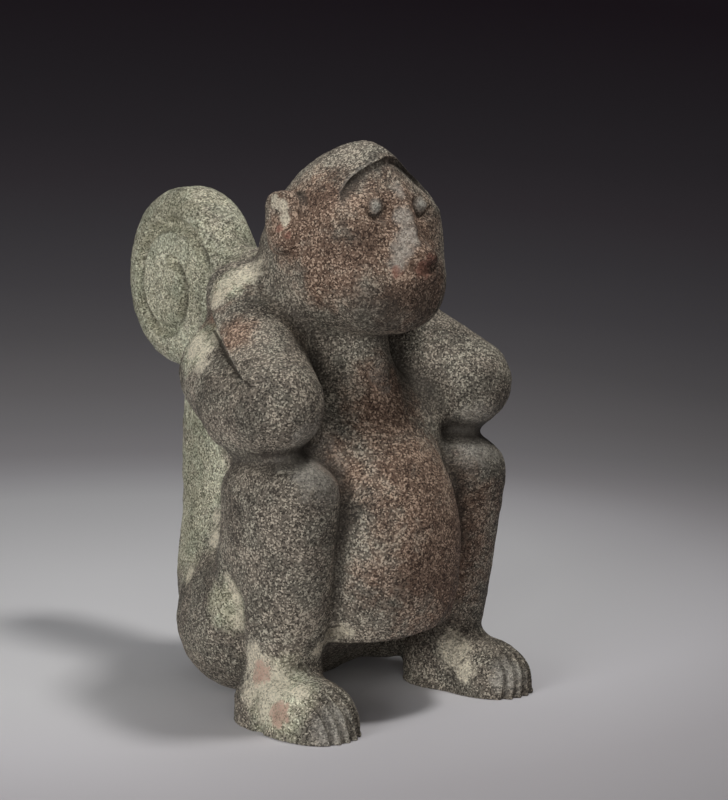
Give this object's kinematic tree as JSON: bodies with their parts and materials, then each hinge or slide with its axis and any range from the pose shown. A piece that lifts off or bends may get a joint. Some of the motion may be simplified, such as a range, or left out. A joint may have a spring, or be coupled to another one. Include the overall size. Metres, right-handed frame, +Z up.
{
  "type": "stone monkey sculpture",
  "caption": "Squatting monkey carved from one grey speckled stone, elbows on its knees, hands behind its neck, tail rolled into a disc at its back.",
  "frame": {"origin": "middle of the ground outline, at the soles of the feet", "axes": "+Z up, the figure faces -Y, +X is the figure's left"},
  "size_m": [0.2384, 0.3212, 0.38],
  "materials": {
    "stone": "pecked and part-polished dark grey-brown stone with pale grains"
  },
  "bodies": {
    "root": {"stone_monkey": "stone"}
  },
  "joints": []
}
